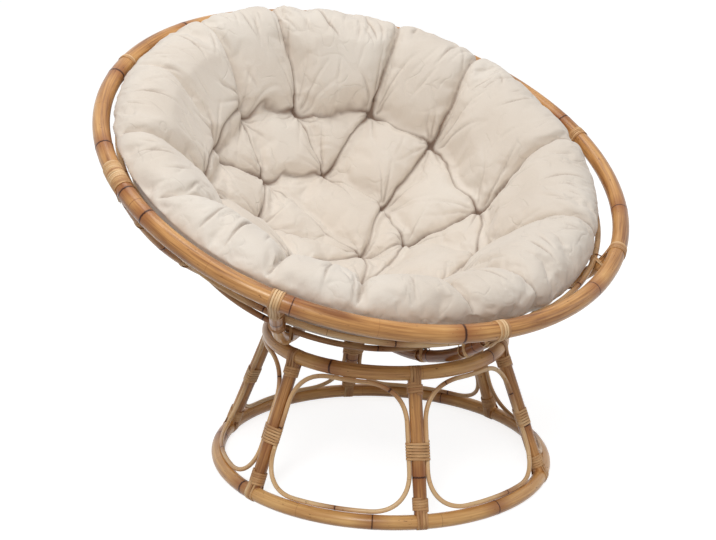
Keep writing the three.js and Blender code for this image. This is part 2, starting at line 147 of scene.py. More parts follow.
# Materials
class Nodes:
    """A short way to write a material: each method adds a node and returns its output."""

    def __init__(self, name):
        self.material = bpy.data.materials.new(name)
        self.material.use_nodes = True
        self.tree = self.material.node_tree
        self.shader = self.tree.nodes["Principled BSDF"]

    def add(self, kind, values=None, **settings):
        node = self.tree.nodes.new(kind)
        for key, value in settings.items():
            setattr(node, key, value)
        for key, value in (values or {}).items():
            self.put(node.inputs[key], value)
        return node

    def put(self, socket, value):
        if isinstance(value, bpy.types.NodeSocket):
            self.tree.links.new(value, socket)
        else:
            socket.default_value = value

    def math(self, operation, a, b=0.0, clamp=False):
        return self.add("ShaderNodeMath", {0: a, 1: b}, operation=operation, use_clamp=clamp).outputs[0]

    def blend(self, *terms):
        """The sum of values, each (value, weight)."""
        total = 0.0
        for value, weight in terms:
            total = self.math("ADD", total, self.math("MULTIPLY", value, weight))
        return total

    def mix(self, share, a, b):
        return self.add("ShaderNodeMix", {0: share, 6: a, 7: b}, data_type="RGBA").outputs[2]

    def ramp(self, value, stops):
        node = self.add("ShaderNodeValToRGB", {0: value})
        elements = node.color_ramp.elements
        while len(elements) < len(stops):
            elements.new(0.5)
        for element, (at, color) in zip(elements, stops):
            element.position = at
            element.color = color
        return node.outputs[0]

    def noise(self, vector, scale, detail=3.0, roughness=0.5):
        values = {"Vector": vector, "Scale": scale, "Detail": detail, "Roughness": roughness}
        return self.add("ShaderNodeTexNoise", values).outputs[0]

    def stretch(self, vector, scale):
        return self.add("ShaderNodeMapping", {"Vector": vector, "Scale": scale}).outputs[0]

    def attribute(self, name, output):
        return self.add("ShaderNodeAttribute", attribute_name=name).outputs[output]

    def bump(self, height, strength, distance, under=None):
        node = self.add("ShaderNodeBump", {"Height": height, "Strength": strength, "Distance": distance})
        if under is not None:
            self.put(node.inputs["Normal"], under)
        return node.outputs[0]

    def shade(self, values):
        """Set the shader's own sockets, or link them where a value comes from a node."""
        for key, value in values.items():
            self.put(self.shader.inputs[key], value)


def rgb(r, g, b):
    """An sRGB colour, 0 to 255, as the linear colour that a shader takes."""
    shares = [c / 255 for c in (r, g, b)]
    linear = [c / 12.92 if c <= 0.04045 else ((c + 0.055) / 1.055) ** 2.4 for c in shares]
    return (*linear, 1.0)


def grey(v):
    return (v, v, v, 1.0)


# Patterns of the rattan and the peel: repeats in a metre along the pole and, twice, across it
STREAKS = (9, 260, 260)
FIBRES = (30, 1500, 1500)
PATCHES = (5, 30, 30)
RAGGED = (60, 420, 420)
SPECKS = (90, 260, 260)
PEEL_FIBRES = (25, 1900, 1900)
PEEL_PATCHES = (22, 90, 90)
NODE_LINE = rgb(58, 24, 8)
NODE_STAIN = rgb(146, 82, 38)
SPECK_BROWN = rgb(120, 68, 34)


def rattan(name, light, mid, dark, roughness):
    """Peeled rattan: streaks, slow changes of tone and dark lines at the growth nodes."""
    n = Nodes(name)
    grain = n.attribute("grain", "Vector")
    knot = n.attribute("knot", "Fac")
    tone = n.attribute("tone", "Fac")
    streaks = n.noise(n.stretch(grain, STREAKS), 1.0, 4.0, 0.6)
    fibres = n.noise(n.stretch(grain, FIBRES), 1.0, 2.0, 0.5)
    patches = n.noise(n.stretch(grain, PATCHES), 1.0, 3.0, 0.55)
    blend = n.blend((streaks, 0.45), (patches, 0.55), (tone, 0.35))
    body = n.ramp(blend, [(0.34, dark), (0.49, mid), (0.66, light)])
    body = n.mix(n.math("MULTIPLY", n.math("SUBTRACT", fibres, 0.5), 0.35, True), body, light)
    ragged = n.noise(n.stretch(grain, RAGGED), 1.0, 3.0, 0.6)
    offset = n.math("MULTIPLY", n.math("SUBTRACT", ragged, 0.5), 0.004)
    distance = n.math("ABSOLUTE", n.math("ADD", knot, offset))
    line = n.ramp(n.math("MULTIPLY", distance, 100.0), [(0.0, grey(1)), (0.14, grey(0.9)), (0.34, grey(0))])
    blush = n.ramp(n.math("MULTIPLY", distance, 24.0), [(0.0, grey(0.75)), (1.0, grey(0))])
    stained = n.mix(blush, body, NODE_STAIN)
    colour = n.mix(line, stained, NODE_LINE)
    specks = n.noise(n.stretch(grain, SPECKS), 1.0, 2.0, 0.5)
    flecks = n.ramp(specks, [(0.69, grey(0)), (0.74, grey(0.75))])
    colour = n.mix(flecks, colour, SPECK_BROWN)
    height = n.blend((fibres, 0.5), (streaks, 0.6), (line, -1.2))
    gloss = n.math("SUBTRACT", 1.0, line)
    n.shade({"Base Color": colour,
             "Roughness": n.math("ADD", n.math("MULTIPLY", streaks, 0.25), roughness),
             "Specular IOR Level": 0.24,
             "Coat Weight": n.math("MULTIPLY", gloss, 0.3),
             "Coat Roughness": 0.22,
             "Normal": n.bump(height, 0.35, 0.0008)})
    return n.material


def peel_material():
    """Split peel: pale flat strands, fine lines along them and darker edges."""
    n = Nodes("peel")
    grain = n.attribute("grain", "Vector")
    tone = n.attribute("tone", "Fac")
    fibres = n.noise(n.stretch(grain, PEEL_FIBRES), 1.0, 3.0, 0.6)
    patches = n.noise(n.stretch(grain, PEEL_PATCHES), 1.0, 2.0, 0.5)
    blend = n.blend((fibres, 0.5), (patches, 0.5), (tone, 0.3))
    colour = n.ramp(blend, [(0.32, rgb(172, 122, 76)), (0.5, rgb(208, 162, 110)), (0.68, rgb(229, 194, 148))])
    n.shade({"Base Color": colour, "Roughness": 0.52, "Normal": n.bump(fibres, 0.4, 0.0005)})
    return n.material


# The cotton's yarns, its soft folds, each (repeats in a metre, level of the ridge), and the brown of the shade
# painted into its creases
YARN = (1300, 1300, 90)
YARN_ACROSS = (90, 1300, 1300)
SOFT_FOLDS = (((11, 16, 13), 0.5), ((24, 17, 21), 0.47))
PAINTED_SHADE_BROWN = rgb(108, 73, 46)


def cotton_material():
    """Cream cotton: thick and thin yarns, faint small creases, and shade painted into its valleys, tufts and
    wrinkles.
    """
    n = Nodes("cotton")
    place = n.add("ShaderNodeTexCoord").outputs["Object"]
    cloud = n.noise(place, 5.0, 3.0, 0.5)
    slub = n.noise(n.stretch(place, YARN), 1.0, 2.0, 0.6)
    slub_across = n.noise(n.stretch(place, YARN_ACROSS), 1.0, 2.0, 0.6)
    yarn = n.blend((slub, 0.5), (slub_across, 0.5))
    creases = n.noise(place, 30.0, 4.0, 0.55)
    folds = 0.0
    for scale, at in SOFT_FOLDS:
        swirl = n.noise(n.stretch(place, scale), 1.0, 1.5, 0.4)
        ridge = n.math("ABSOLUTE", n.math("SUBTRACT", swirl, at))
        line = n.ramp(ridge, [(0.0, grey(1)), (0.012, grey(0.55)), (0.035, grey(0))])
        mask = n.ramp(n.noise(place, scale[0] * 0.8, 1.0), [(0.5, grey(0)), (0.62, grey(1))])
        folds = n.math("ADD", folds, n.math("MULTIPLY", line, mask))
    creases = n.blend((creases, 0.35), (folds, -0.22))
    blend = n.blend((cloud, 0.6), (yarn, 0.4))
    colour = n.ramp(blend, [(0.3, rgb(216, 203, 188)), (0.5, rgb(225, 214, 201)), (0.7, rgb(231, 223, 212))])
    # Painted shade: the cotton is darkened towards brown in its valleys, round its tufts and in its wrinkles,
    # standing in for the shade there
    depth = n.ramp(n.attribute("painted_crease_shade", "Fac"), [(0.18, grey(0)), (0.9, grey(0.8))])
    colour = n.mix(depth, colour, PAINTED_SHADE_BROWN)
    n.shade({"Base Color": colour,
             "Roughness": 0.92,
             "Specular IOR Level": 0.2,
             "Sheen Weight": 0.25,
             "Sheen Roughness": 0.5,
             "Normal": n.bump(yarn, 0.3, 0.0006, under=n.bump(creases, 0.55, 0.007))})
    return n.material


# Each look is a material and its slot
HONEY = (rattan("honey_rattan", rgb(232, 184, 120), rgb(198, 143, 84), rgb(136, 84, 42), 0.22), "honey_rattan")
PALE = (rattan("pale_rattan", rgb(238, 206, 160), rgb(218, 176, 126), rgb(166, 118, 72), 0.28), "pale_rattan")
PEEL = (peel_material(), "peel")
COTTON = (cotton_material(), "cotton")


# Meshes
def make_piece(name, points, faces, look, body, nodes, **attributes):
    """A smooth mesh as a piece that replaces CAD nodes. Each attribute is (domain, values)."""
    material, slot = look
    mesh = bpy.data.meshes.new(name)
    mesh.from_pydata(points.tolist(), [], faces)
    for key, (domain, values) in attributes.items():
        values = np.asarray(values, np.float32)
        kind, field = ("FLOAT_VECTOR", "vector") if values.ndim == 2 else ("FLOAT", "value")
        mesh.attributes.new(key, kind, domain).data.foreach_set(field, values.ravel())
    mesh.materials.append(material)
    mesh.polygons.foreach_set("use_smooth", [True] * len(mesh.polygons))
    mesh.update()
    piece = bpy.data.objects.new(name, mesh)
    link(piece)
    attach(piece, body)
    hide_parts(*nodes)
    return piece


# A growth node's swelling and groove: size as a share of the pole, and reach in metres
KNOT_SWELL, SWELL_REACH = 0.045, 0.006
KNOT_GROOVE, GROOVE_REACH = 0.05, 0.0016
KNOT_FADE = 0.004
# How much poles and strands differ in tone, and over how many metres of pattern they start
POLE_TONES, STRAND_TONES = 0.16, 0.28
POLE_GRAIN, STRAND_GRAIN = 20, 5


def tube(points, plane, radius, knots=(), closed=False, sides=20, wobble=0.0):
    """A round pole through the points, with plane across it. Each knot is (metres along, strength)."""
    count = len(points)
    ahead = np.roll(points, -1, 0) if closed else np.vstack([points[1:], points[-1:]])
    behind = np.roll(points, 1, 0) if closed else np.vstack([points[:1], points[:-1]])
    tangent = unit(ahead - behind)
    across = unit(plane - (tangent * plane).sum(1)[:, None] * tangent)
    outward = np.cross(tangent, across)
    along = lengths(points)
    length = along[-1] + (np.linalg.norm(points[0] - points[-1]) if closed else 0)
    knot = np.full(count, 1.0)
    girth = np.full(count, radius)
    for place, strength in knots:
        gap = along - place
        if closed:
            gap = (gap + length / 2) % length - length / 2
        girth += radius * KNOT_SWELL * strength * np.exp(-((gap / SWELL_REACH) ** 2))
        girth -= radius * KNOT_GROOVE * strength * np.exp(-((gap / GROOVE_REACH) ** 2))
        near = np.abs(gap) < np.abs(knot)
        weak = (1 - strength) * KNOT_FADE
        knot = np.where(near, gap + np.sign(gap + 1e-9) * weak, knot)
    phase = rng.random(6) * TAU
    wave = sum(np.sin(along / length * TAU * k + phase[k - 1]) for k in (2, 3, 5))
    sway = sum(np.cos(along / length * TAU * k + phase[k]) for k in (2, 3, 4))
    centre = points + wobble * (wave[:, None] * across + sway[:, None] * outward) / 3
    angle = np.arange(sides) / sides * TAU
    spoke = np.cos(angle)[None, :, None] * across[:, None] + np.sin(angle)[None, :, None] * outward[:, None]
    verts = (centre[:, None] + girth[:, None, None] * spoke).reshape(-1, 3)
    faces, grain = [], []
    shift = rng.random() * POLE_GRAIN
    ring_values = np.stack([np.cos(angle) * radius, np.sin(angle) * radius], 1) + rng.random(2)
    rows = count if closed else count - 1
    for i in range(rows):
        j = (i + 1) % count
        end = length if j == 0 else along[j]
        for k in range(sides):
            m = (k + 1) % sides
            faces.append((i * sides + k, j * sides + k, j * sides + m, i * sides + m))
            for place, side in ((along[i], k), (end, k), (end, m), (along[i], m)):
                grain.append((place + shift, *ring_values[side]))
    if not closed:
        for base, order in ((0, 1), ((count - 1) * sides, -1)):
            faces.append(tuple(base + k for k in range(sides))[::order])
            grain += [(along[0 if base == 0 else -1] + shift, *ring_values[k]) for k in range(sides)][::order]
    tone = np.full(len(verts), rng.normal(0, POLE_TONES))
    values = dict(grain=("CORNER", grain), knot=("POINT", np.repeat(knot, sides)), tone=("POINT", tone))
    return verts, faces, values


def pole_piece(name, points, plane, radius, look, body, node, knots, **shape):
    verts, faces, values = tube(points, np.array(plane, float), radius, knots, **shape)
    return make_piece(name, verts, faces, look, body, [node], **values)


def circle(radius, level, count):
    angle = np.arange(count) / count * TAU
    return np.stack([radius * np.cos(angle), radius * np.sin(angle), np.full(count, level)], 1)


# The usual distance between growth nodes, and the lengths that carry them, in metres
KNOT_SPACING = {"rib": 0.2, "bowl_ring": 0.22, "hoop": 0.28, "bottom_ring": 0.34, "top_ring": 0.3, "leg": 0.24,
                "loop": 0.3}
RIB_LENGTH, BOWL_RING_LENGTH, LOOP_LENGTH = 0.55, 0.6, 0.9
HOOP_STRENGTHS = (0.2, 0.8)
HOOP_WOBBLE, LOOP_WOBBLE = 0.0002, 0.0003
# How far ribs stop short of the poles' middles, as a share of their radius
RIB_END = 0.6


def random_knots(length, kind, strength=(0.3, 1.0)):
    """Growth nodes at uneven distances along a pole."""
    spacing = KNOT_SPACING[kind]
    knots, place = [], rng.uniform(0.2, 0.8) * spacing
    while place < length:
        knots.append((place, rng.uniform(*strength)))
        place += spacing * rng.uniform(0.7, 1.25)
    return knots


# The rim's growth nodes where the photo has them: angle from the low front point towards +X, and strength
RIM_KNOTS = [(202.5, 1.0), (231.5, 1.0), (259.5, 0.85), (275, 0.9), (283, 0.95), (351.5, 1.0), (61, 0.6),
             (28, 0.35), (96, 0.7), (132, 0.6), (168, 0.8), (318, 0.3)]
RIM_STEPS = 900


def make_rim():
    points = placed(BOWL, circle(RIM_RADIUS, 0, RIM_STEPS))
    knots = [(math.radians((a - 90) % 360) * RIM_RADIUS, s) for a, s in RIM_KNOTS]
    pole_piece("rim", points, turned(BOWL, (0, 0, 1)), RIM_POLE, HONEY, "bowl", "bowl_rim", knots, closed=True,
               sides=28)


def meridian(angle_from, angle_to, azimuth, sphere, count):
    """An arc on a sphere about the bowl's pivot, in the bowl's frame, from one polar angle to another."""
    polar = np.linspace(angle_from, angle_to, count)
    out = sphere * np.sin(polar)
    return np.stack([out * math.cos(azimuth), out * math.sin(azimuth), RISE - sphere * np.cos(polar)], 1)


def make_ribs():
    rim_end = RIM_ANGLE - (RIM_POLE * RIB_END) / SPHERE
    ring_end = BOWL_RING_ANGLE + (BOWL_RING_POLE * RIB_END) / SPHERE
    for i in range(RIB_COUNT):
        azimuth = i * TAU / RIB_COUNT - math.pi / 2
        points = placed(BOWL, meridian(rim_end, ring_end, azimuth, SPHERE, 120))
        plane = turned(BOWL, (-math.sin(azimuth), math.cos(azimuth), 0))
        pole_piece(f"rib_{i + 1}", points, plane, RIB_POLE, HONEY, "bowl", f"bowl_rib_{i + 1}",
                   random_knots(RIB_LENGTH, "rib"))


def make_bowl_rings():
    level = RISE - SPHERE * math.cos(BOWL_RING_ANGLE)
    up = turned(BOWL, (0, 0, 1))
    points = placed(BOWL, circle(BOWL_RING_RADIUS, level, 160))
    pole_piece("bowl_ring", points, up, BOWL_RING_POLE, HONEY, "bowl", "bowl_bottom_ring",
               random_knots(BOWL_RING_LENGTH, "bowl_ring"), closed=True)
    for name, drop in HOOP_DROPS.items():
        radius = math.sqrt(HOOP_SPHERE**2 - (RISE + drop) ** 2)
        points = placed(BOWL, circle(radius, -drop, 420))
        pole_piece(f"hoop_{name}", points, up, HOOP_POLE, PALE, "bowl", f"bowl_hoop_{name}",
                   random_knots(TAU * radius, "hoop", HOOP_STRENGTHS), closed=True, sides=12,
                   wobble=HOOP_WOBBLE)


# Base
LEG_SHARES = (0.03, 0.97)
LEG_FOOT = np.array([BOTTOM_RADIUS, 0, BOTTOM_LEVEL])
LEG_HEAD = np.array([TOP_RADIUS, 0, TOP_HEIGHT])
LEG_LENGTH = float(np.linalg.norm(LEG_HEAD - LEG_FOOT))
LEG_UP = (LEG_HEAD - LEG_FOOT) / LEG_LENGTH
LEG_OUT = np.array([LEG_UP[2], 0, -LEG_UP[0]])
LEG_SIDE = np.array([0.0, 1.0, 0.0])


def leg_frame(i):
    return BASE @ Matrix.Rotation(i * TAU / LEG_COUNT, 4, "Z")


def make_base_poles():
    bottom = placed(BASE, circle(BOTTOM_RADIUS, BOTTOM_LEVEL, 540))
    piece = pole_piece("bottom_ring", bottom, (0, 0, 1), BASE_POLE, HONEY, "base", "base_bottom_ring",
                       random_knots(TAU * BOTTOM_RADIUS, "bottom_ring"), closed=True, sides=24)
    for vertex in piece.data.vertices:
        vertex.co.z = max(vertex.co.z, 0)
    top = placed(BASE, circle(TOP_RADIUS, TOP_HEIGHT, 380))
    pole_piece("top_ring", top, (0, 0, 1), BASE_POLE, HONEY, "base", "base_top_ring",
               random_knots(TAU * TOP_RADIUS, "top_ring"), closed=True, sides=24)
    for i in range(LEG_COUNT):
        matrix = leg_frame(i)
        share = np.linspace(*LEG_SHARES, 70)[:, None]
        points = placed(matrix, LEG_FOOT + share * (LEG_HEAD - LEG_FOOT))
        pole_piece(f"leg_{i + 1}_pole", points, turned(matrix, LEG_SIDE), LEG_POLE, HONEY, "base",
                   f"leg_{i + 1}", random_knots(LEG_LENGTH, "leg"))


# A loop's gap to the rings, and how far its corners are pulled out, from 0 for a straight cut to 1
LOOP_GAP = 0.0005
CORNER_PULL = 0.62


def window_outline(count):
    """The rounded window frame in the legs' cone, as (across, along) in metres, evenly spaced."""
    beside = LEG_POLE + LOOP_POLE + CLEARANCE
    low = BASE_POLE + LOOP_POLE + LOOP_GAP
    high = LEG_LENGTH - low

    def half_width(along):
        radius = BOTTOM_RADIUS + (TOP_RADIUS - BOTTOM_RADIUS) * along / LEG_LENGTH
        return math.pi / LEG_COUNT * radius - beside

    corners = np.array([(-half_width(low), low), (half_width(low), low),
                        (half_width(high), high), (-half_width(high), high)])
    points = []
    for i, corner in enumerate(corners):
        before = corner + LOOP_CORNER * unit(corners[i - 1] - corner)
        after = corner + LOOP_CORNER * unit(corners[(i + 1) % 4] - corner)
        first = before + CORNER_PULL * (corner - before)
        second = after + CORNER_PULL * (corner - after)
        t = np.linspace(0, 1, 24)[:, None]
        points.append((1 - t) ** 3 * before + 3 * (1 - t) ** 2 * t * first
                      + 3 * (1 - t) * t**2 * second + t**3 * after)
    outline = np.concatenate(points)
    outline = np.vstack([outline, outline[:1]])
    along = lengths(outline)
    even = np.linspace(0, along[-1], count + 1)[:-1]
    return np.stack([np.interp(even, along, column) for column in outline.T], 1)


def make_loops():
    outline = window_outline(240)
    share = outline[:, 1] / LEG_LENGTH
    radius = BOTTOM_RADIUS + (TOP_RADIUS - BOTTOM_RADIUS) * share
    level = BOTTOM_LEVEL + (TOP_HEIGHT - BOTTOM_LEVEL) * share
    angle = outline[:, 0] / radius
    points = np.stack([radius * np.cos(angle), radius * np.sin(angle), level], 1)
    for i in range(LEG_COUNT):
        matrix = leg_frame(i + 0.5)
        pole_piece(f"loop_{i + 1}", placed(matrix, points), turned(matrix, LEG_OUT), LOOP_POLE, PALE, "base",
                   f"window_loop_{i + 1}", random_knots(LOOP_LENGTH, "loop"), closed=True, sides=14,
                   wobble=LOOP_WOBBLE)


# Lashings: a strand's section, as shares of half its width and thickness, and its points to a turn
SECTION = [(-1, -0.3), (-0.8, -1), (0.8, -1), (1, -0.3), (1, 0.3), (0.72, 1), (-0.72, 1), (-1, 0.3)]
TURN_STEPS = 26
# How far a strand strays sideways and how high it lies, in metres
STRAND_STRAY, STRAND_REST, STRAND_LIFT = 0.0002, 0.0001, 0.0003
FLOOR_GAP, BUNDLE_GAP, SCARF_GAP, TIE_GAP = 0.0003, 0.0004, 0.0003, 0.0002
# The least half width under a strap, as a share of the pole, and a winding's sway, as a share of its pitch
LEAST_FLANK, COIL_SWAY = 0.35, 0.12


def ribbon(stations, across, outward, width):
    """One flat strand, as vertices, faces and grain values."""
    start = rng.random() * STRAND_GRAIN
    section = [(w * (width / 2), t * (STRAND_THICKNESS / 2)) for w, t in SECTION]
    verts = np.stack([stations + across * w + outward * t for w, t in section], 1)
    count, sides = verts.shape[:2]
    along = lengths(stations) + start
    faces = [tuple(range(sides))[::-1], tuple((count - 1) * sides + k for k in range(sides))]
    for i in range(count - 1):
        for k in range(sides):
            m = (k + 1) % sides
            faces.append((i * sides + k, i * sides + m, (i + 1) * sides + m, (i + 1) * sides + k))
    grain = np.stack([np.repeat(along, sides), np.tile([w for w, _ in section], count),
                      np.tile([t for _, t in section], count)], 1)
    grain += rng.random(3)
    return verts.reshape(-1, 3), faces, grain


def join(parts, shade):
    """Several (vertices, faces, grain) as one mesh, each strand a little lighter or darker than shade."""
    verts, faces, grain, tone, base = [], [], [], [], 0
    for v, f, g in parts:
        verts.append(v)
        faces += [tuple(k + base for k in face) for face in f]
        grain.append(g)
        tone.append(np.full(len(v), rng.normal(shade, STRAND_TONES)))
        base += len(v)
    return np.concatenate(verts), faces, np.concatenate(grain), np.concatenate(tone)


def lashing_piece(name, parts, body, node, clear_of_bowl=False, shade=0.0):
    verts, faces, grain, tone = join(parts, shade)
    if clear_of_bowl:
        gap = verts - PIVOT
        reach = np.linalg.norm(gap, axis=1, keepdims=True)
        least = SPHERE + RIB_POLE + BOWL_GAP
        verts = np.where(reach < least, PIVOT + gap / reach * least, verts)
    verts[:, 2] = np.maximum(verts[:, 2], FLOOR_GAP)
    make_piece(name, verts, faces, PEEL, body, [node], grain=("POINT", grain), tone=("POINT", tone))


def straps(centre, down, face, side, ring_pole, butt_pole, wrap_top, wrap_ends, strands, width, spacing=1.05):
    """Strands over a ring's pole and down both faces of the pole that butts against it at centre.

    down runs along the butting pole, side along the ring, and wrap_ends are the ends at the back and in front."""
    parts = []
    for i in range(strands):
        offset = (i - (strands - 1) / 2) * width * spacing + rng.normal(0, STRAND_STRAY)
        lift = STRAND_THICKNESS / 2 + STRAND_REST + rng.uniform(0, STRAND_LIFT)
        flank = math.sqrt(max(butt_pole**2 - offset**2, (butt_pole * LEAST_FLANK) ** 2)) + lift
        round_ring = ring_pole + lift
        reach = math.hypot(wrap_top, flank)
        tangent = math.pi - math.atan2(flank, wrap_top) - math.acos(round_ring / reach)
        arc = np.linspace(-tangent, tangent, TURN_STEPS)
        rows = [(wrap_ends[0], -flank), (wrap_top, -flank)]
        rows += [(-round_ring * math.cos(a), round_ring * math.sin(a)) for a in arc]
        rows += [(wrap_top, flank), (wrap_ends[1], flank)]
        rows = np.array(rows)
        bend = np.gradient(rows, axis=0)
        normal = unit(np.stack([-bend[:, 1], bend[:, 0]], 1))
        normal *= np.sign((normal * (rows - [ring_pole, 0])).sum(1))[:, None]
        points = centre + rows[:, :1] * down + rows[:, 1:] * face + offset * side
        outward = normal[:, :1] * down + normal[:, 1:] * face
        parts.append(ribbon(points, side, outward, width))
    return parts


def coil(centre, axis, first, second, radius, turns, pitch, width):
    """One strand wound round a straight pole, from centre on along axis."""
    t = np.arange(int(turns * TURN_STEPS) + 1) / TURN_STEPS
    angle = t * TAU
    outward = np.cos(angle)[:, None] * first + np.sin(angle)[:, None] * second
    sway = COIL_SWAY * pitch * np.sin(angle + rng.random() * TAU)
    points = centre + (t * pitch + sway)[:, None] * axis + outward * radius
    return ribbon(points, axis, outward, width)


def bundle_coil(centre, axis, out, side, turns, pitch, width):
    """One strand wound round a leg and the two loops that lie beside it."""
    beside = LEG_POLE + LOOP_POLE + CLEARANCE
    lift = STRAND_THICKNESS / 2 + BUNDLE_GAP
    angle = np.linspace(0, TAU, 97)[:-1]
    normal = np.stack([np.cos(angle), np.sin(angle)], 1)
    hull = []
    for direction in normal:
        reach = [(shift * direction[0] + pole, shift, pole) for shift, pole in
                 ((0, LEG_POLE), (beside, LOOP_POLE), (-beside, LOOP_POLE))]
        _, shift, pole = max(reach)
        hull.append(np.array([shift, 0]) + direction * (pole + lift))
    hull = np.array(hull + hull[:1])
    normal = np.vstack([normal, normal[:1]])
    steps = lengths(hull)
    even = np.linspace(0, steps[-1], 41)[:-1]
    ring = np.stack([np.interp(even, steps, column) for column in hull.T], 1)
    facing = unit(np.stack([np.interp(even, steps, column) for column in normal.T], 1))
    total = int(turns * len(ring)) + 1
    index = np.arange(total) % len(ring)
    climb = np.arange(total) / len(ring) * pitch
    points = centre + ring[index, :1] * side + ring[index, 1:] * out + climb[:, None] * axis
    outward = facing[index, :1] * side + facing[index, 1:] * out
    return ribbon(points, axis, outward, width)


# Leg lashings, in metres, the middle ones shifted along their legs to where the photo has them
MID_SHIFTS = [-0.013, -0.015, -0.008, -0.012, -0.01, -0.024]
MID_TURNS, MID_WIDTH, MID_TONE = 6, 0.0046, 0.2
MID_PITCH = MID_WIDTH * 1.22
END_TURNS = {"top": 4, "bottom": 5}
END_WIDTH, END_PITCH, END_TONE = 0.0046, 0.0049, -0.3
END_START = BASE_POLE + 0.004
END_RADIUS = LEG_POLE + STRAND_THICKNESS * 1.5 + 0.0002
STRAP_COUNT, STRAP_WIDTH = 4, 0.005


def make_leg_lashings():
    for i in range(LEG_COUNT):
        matrix = leg_frame(i)
        up, out, side = (turned(matrix, v) for v in (LEG_UP, LEG_OUT, LEG_SIDE))
        foot = placed(matrix, LEG_FOOT[None])[0]
        head = placed(matrix, LEG_HEAD[None])[0]
        start = foot + up * (MID_LASHING + MID_SHIFTS[i] - MID_TURNS * MID_PITCH / 2)
        winding = bundle_coil(start, up, out, side, MID_TURNS, MID_PITCH, MID_WIDTH)
        lashing_piece(f"mid_lashing_{i + 1}", [winding], "base", f"leg_lashing_mid_{i + 1}", shade=MID_TONE)
        for name, centre, down in (("top", head, -up), ("bottom", foot, up)):
            turns = END_TURNS[name]
            end = END_START + turns * END_PITCH
            parts = straps(centre, down, out, side, BASE_POLE, LEG_POLE, END_START, (end, end), STRAP_COUNT,
                           STRAP_WIDTH)
            start = centre + down * (END_START + 0.002)
            parts.append(coil(start, down, out, np.cross(down, out), END_RADIUS, turns, END_PITCH, END_WIDTH))
            lashing_piece(f"{name}_lashing_{i + 1}", parts, "base", f"leg_lashing_{name}_{i + 1}",
                          clear_of_bowl=name == "top", shade=END_TONE)


def hull_points(angle, ellipses, lift):
    """Points of the tight outline round upright ellipses, each (level, half width, half height)."""
    facing = np.stack([np.cos(angle), np.sin(angle)], 1)
    best, points = np.full(len(angle), -np.inf), np.zeros((len(angle), 2))
    for level, wide, high in ellipses:
        scaled = facing * [wide**2, high**2]
        size = np.sqrt((facing * scaled).sum(1))
        reach = size + facing[:, 1] * level
        spot = scaled / size[:, None] + [0, level]
        points = np.where((reach > best)[:, None], spot, points)
        best = np.maximum(best, reach)
    return points + facing * lift, facing


# A tie of rib and hoop: turns, steps, spread in strand widths and lean to the hoop
TIE_TURNS, TIE_STEPS, TIE_SPREAD, TIE_LEAN = 2, 130, 2.1, 0.7


def cross_tie(centre, along_rib, along_hoop, inward, lean):
    """Turns of a strand laid slantwise round a rib and the hoop inside it."""
    t = np.linspace(0, TIE_TURNS * TAU, TIE_STEPS)
    slant = math.cos(lean) * along_hoop + math.sin(lean) * along_rib
    drift = np.cross(inward, slant)
    ellipses = [(0, RIB_POLE / math.cos(lean), RIB_POLE),
                (RIB_POLE + HOOP_POLE + CLEARANCE, HOOP_POLE / abs(math.sin(lean)), HOOP_POLE)]
    outline, facing = hull_points(t % TAU, ellipses, STRAND_THICKNESS / 2 + TIE_GAP)
    points = centre + outline[:, :1] * slant + outline[:, 1:] * inward
    points = points + ((t / t[-1] - 0.5) * TIE_SPREAD * TIE_WIDTH)[:, None] * drift
    outward = facing[:, :1] * slant + facing[:, 1:] * inward
    return ribbon(points, drift, outward, TIE_WIDTH)


def rim_coil(azimuth, turns, pitch, width):
    """A strand wound round the rim itself, centred on an azimuth."""
    t = np.arange(int(turns * TURN_STEPS) + 1) / TURN_STEPS
    around = azimuth + (t - turns / 2) * pitch / RIM_RADIUS
    angle = t * TAU
    radial = np.stack([np.cos(around), np.sin(around), 0 * around], 1)
    tangent = np.stack([-np.sin(around), np.cos(around), 0 * around], 1)
    outward = np.cos(angle)[:, None] * radial + np.sin(angle)[:, None] * np.array([0, 0, 1])
    reach = RIM_POLE + STRAND_THICKNESS / 2 + SCARF_GAP
    points = placed(BOWL, RIM_RADIUS * radial + reach * outward)
    rotation = np.array(BOWL)[:3, :3].T
    return ribbon(points, tangent @ rotation, outward @ rotation, width)


# Strands over the rim at each rib, from the low front point towards +X, and their width
RIM_BINDINGS = [(5, 0.0041), (5, 0.0041), (5, 0.004), (4, 0.0044), (5, 0.0042), (3, 0.0036), (5, 0.0044),
                (5, 0.0042)]
RIM_WRAP, RIM_WRAP_ENDS, RIM_SPACING = 0.032, (0.039, 0.053), 1.13
# The rim's scarf joint, at one rib, is bound on both sides: turns, pitch and width
SCARF_RIB, SCARF_SHIFT = 6, 0.0175
SCARF_WINDING = (7, 0.0047, 0.0045)


def make_rim_lashings():
    for i in range(RIB_COUNT):
        azimuth = i * TAU / RIB_COUNT - math.pi / 2
        radial = np.array([math.cos(azimuth), math.sin(azimuth), 0])
        tangent = np.array([-math.sin(azimuth), math.cos(azimuth), 0])
        down = turned(BOWL, -math.cos(RIM_ANGLE) * radial - math.sin(RIM_ANGLE) * np.array([0, 0, 1]))
        face = turned(BOWL, math.sin(RIM_ANGLE) * radial - math.cos(RIM_ANGLE) * np.array([0, 0, 1]))
        side = turned(BOWL, tangent)
        centre = placed(BOWL, RIM_RADIUS * radial[None])[0]
        strands, width = RIM_BINDINGS[i]
        parts = straps(centre, down, face, side, RIM_POLE, RIB_POLE, RIM_WRAP, RIM_WRAP_ENDS, strands, width,
                       RIM_SPACING)
        if i == SCARF_RIB:
            for shift in (-SCARF_SHIFT, SCARF_SHIFT):
                parts.append(rim_coil(azimuth + shift / RIM_RADIUS, *SCARF_WINDING))
        for drop in HOOP_DROPS.values():
            polar = math.acos((RISE + drop) / HOOP_SPHERE)
            spot = placed(BOWL, meridian(polar, polar, azimuth, SPHERE, 1))[0]
            inward = unit(PIVOT - spot)
            along = np.cross(side, inward)
            for lean in (TIE_LEAN, -TIE_LEAN):
                parts.append(cross_tie(spot, along, side, inward, lean))
        lashing_piece(f"rim_binding_{i + 1}", parts, "bowl", f"rim_lashing_{i + 1}")


